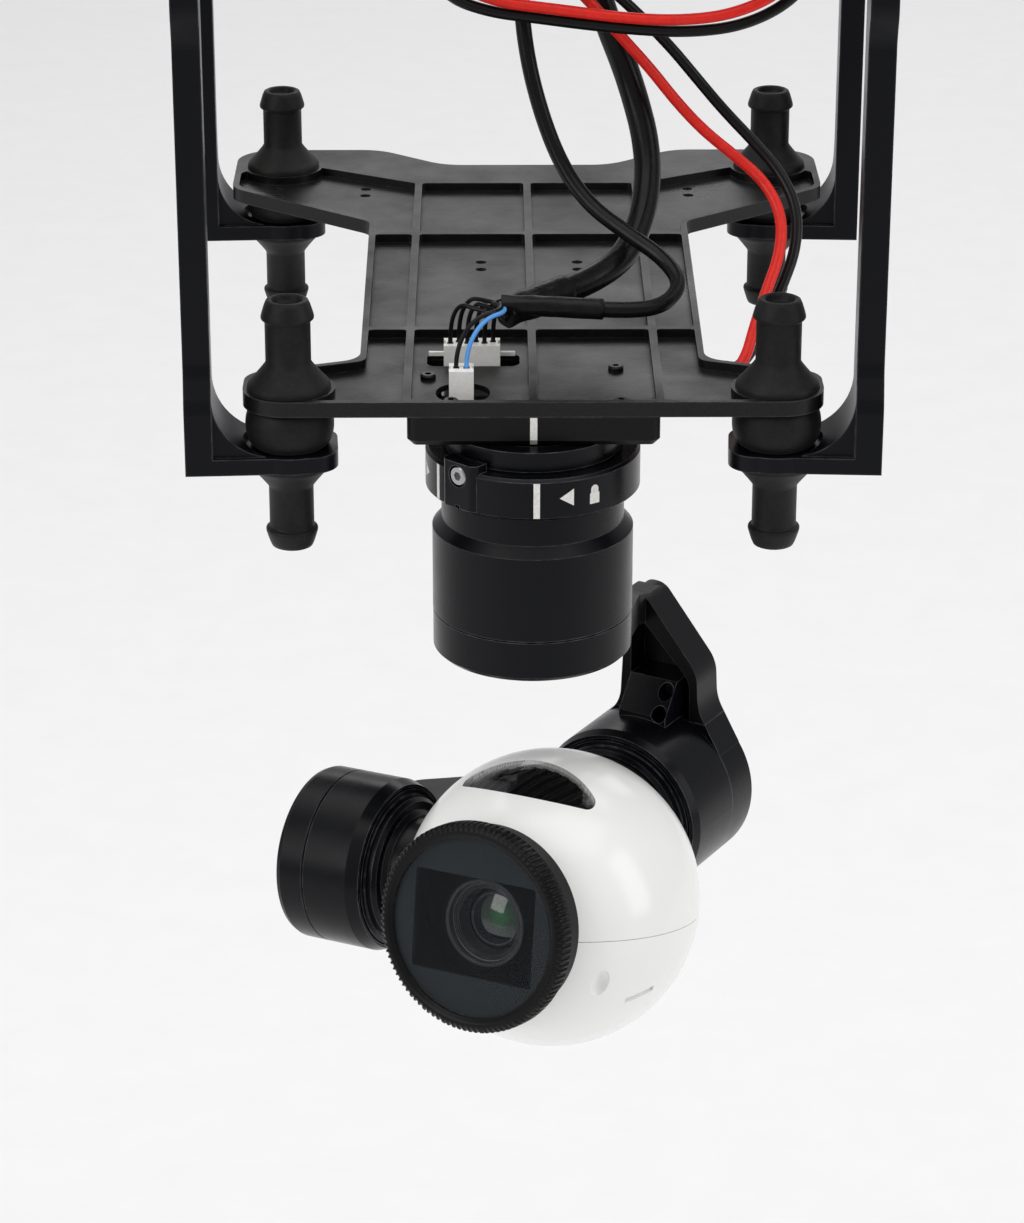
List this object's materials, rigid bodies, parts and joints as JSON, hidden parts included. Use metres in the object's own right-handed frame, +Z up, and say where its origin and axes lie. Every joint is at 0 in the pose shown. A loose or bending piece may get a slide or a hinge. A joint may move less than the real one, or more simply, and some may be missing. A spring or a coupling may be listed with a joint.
{
  "type": "camera gimbal",
  "caption": "Three-axis stabilised ball camera under a rubber-damped plate, hung between two airframe brackets.",
  "frame": {"origin": "centre of the four-hole pattern in the top flanges of the two hanger brackets, on their top face", "axes": "+Z up, out of the top flanges towards the airframe; +X to the right and +Y to the rear seen from the front, where the camera hangs"},
  "size_m": [0.1534, 0.2049, 0.2406],
  "materials": {
    "bracket_black": "satin anodised",
    "plate_black": "fine matt, glass filled",
    "plastic_black": "matt",
    "metal_black": "satin anodised",
    "rubber_black": "matt",
    "steel": "bright",
    "screw_black": "black oxide",
    "board_green": "solder mask",
    "connector_white": "natural white",
    "sheath_black": "smooth sheath",
    "silicone_red": "silicone",
    "silicone_black": "silicone",
    "wire_blue": "insulation",
    "copper": "enamelled winding",
    "magnet": "nickel",
    "shell_white": "gloss",
    "gloss_black": "smoked",
    "glass": "coated",
    "sink_black": "black"
  },
  "bodies": {
    "hanger": {"left_hanger_bracket": "bracket_black", "right_hanger_bracket": "bracket_black", "cable_bridge": "bracket_black", "bridge_screws": "screw_black", "junction_block": "plastic_black", "front_left_damper": "rubber_black", "front_right_damper": "rubber_black", "rear_left_damper": "rubber_black", "rear_right_damper": "rubber_black"},
    "plate": {"bayonet_collar": "metal_black", "block_screws": "screw_black", "cable_sleeves": "sheath_black", "connector_board": "board_green", "control_cable": "sheath_black", "control_connector": "connector_white", "control_wires": "wire_blue", "damper_plate": "plate_black", "mount_block": "plastic_black", "power_cable_black": "silicone_black", "power_cable_red": "silicone_red", "power_connector": "plastic_black", "signal_cable": "sheath_black", "signal_connector": "connector_white", "signal_wires": "sheath_black", "yaw_bearings": "steel", "yaw_motor_housing": "metal_black", "yaw_stator": "copper"},
    "lock_ring": {"lock_ring": "metal_black", "clamp_screw": "steel"},
    "yaw_arm": {"yaw_rotor_cap": "metal_black", "yaw_magnet_ring": "magnet", "yaw_shaft": "steel", "yaw_arm_frame": "metal_black", "roll_motor_cap": "metal_black", "roll_motor_housing": "metal_black", "arm_screws": "steel", "roll_stator": "copper", "roll_bearings": "steel"},
    "roll_arm": {"roll_rotor": "metal_black", "roll_magnet_ring": "magnet", "roll_shaft": "steel", "roll_arm": "metal_black", "pitch_motor_housing": "metal_black", "pitch_motor_cap": "metal_black", "pitch_stator": "copper", "pitch_bearings": "steel"},
    "camera": {"pitch_rotor": "metal_black", "pitch_magnet_ring": "magnet", "pitch_shaft": "steel", "camera_upper_shell": "shell_white", "camera_lower_shell": "shell_white", "vent_window": "gloss_black", "heat_sink": "sink_black", "lens_bezel": "metal_black", "filter_ring": "metal_black", "filter_glass": "glass", "lens_mask": "plastic_black", "lens_barrel": "metal_black", "lens_elements": "glass", "camera_board": "board_green"}
  },
  "joints": [
    {"name": "damper_bounce", "type": "slide", "parent": "hanger", "child": "plate", "axis": [0, 0, 1], "range_m": [-0.0015, 0.0015], "stiffness_N_per_m": 8000, "deforming": ["front_left_damper", "front_right_damper", "rear_left_damper", "rear_right_damper"]},
    {"name": "lock_turn", "type": "hinge", "parent": "plate", "child": "lock_ring", "pos_m": [0, -0.0703, -0.118], "axis": [0, 0, 1], "range_deg": [0, 40]},
    {"name": "yaw", "type": "hinge", "parent": "plate", "child": "yaw_arm", "pos_m": [0, -0.0703, -0.157], "axis": [0, 0, 1], "range_deg": [-289.35, 350.65]},
    {"name": "roll", "type": "hinge", "parent": "yaw_arm", "child": "roll_arm", "pos_m": [0, -0.0703, -0.2105], "axis": [0.5098, 0.8603, 0], "range_deg": [-26.5, 33.5]},
    {"name": "pitch", "type": "hinge", "parent": "roll_arm", "child": "camera", "pos_m": [0.00391, -0.07761, -0.21007], "axis": [-0.8587, 0.5088, -0.061], "range_deg": [-102, 18]}
  ]
}
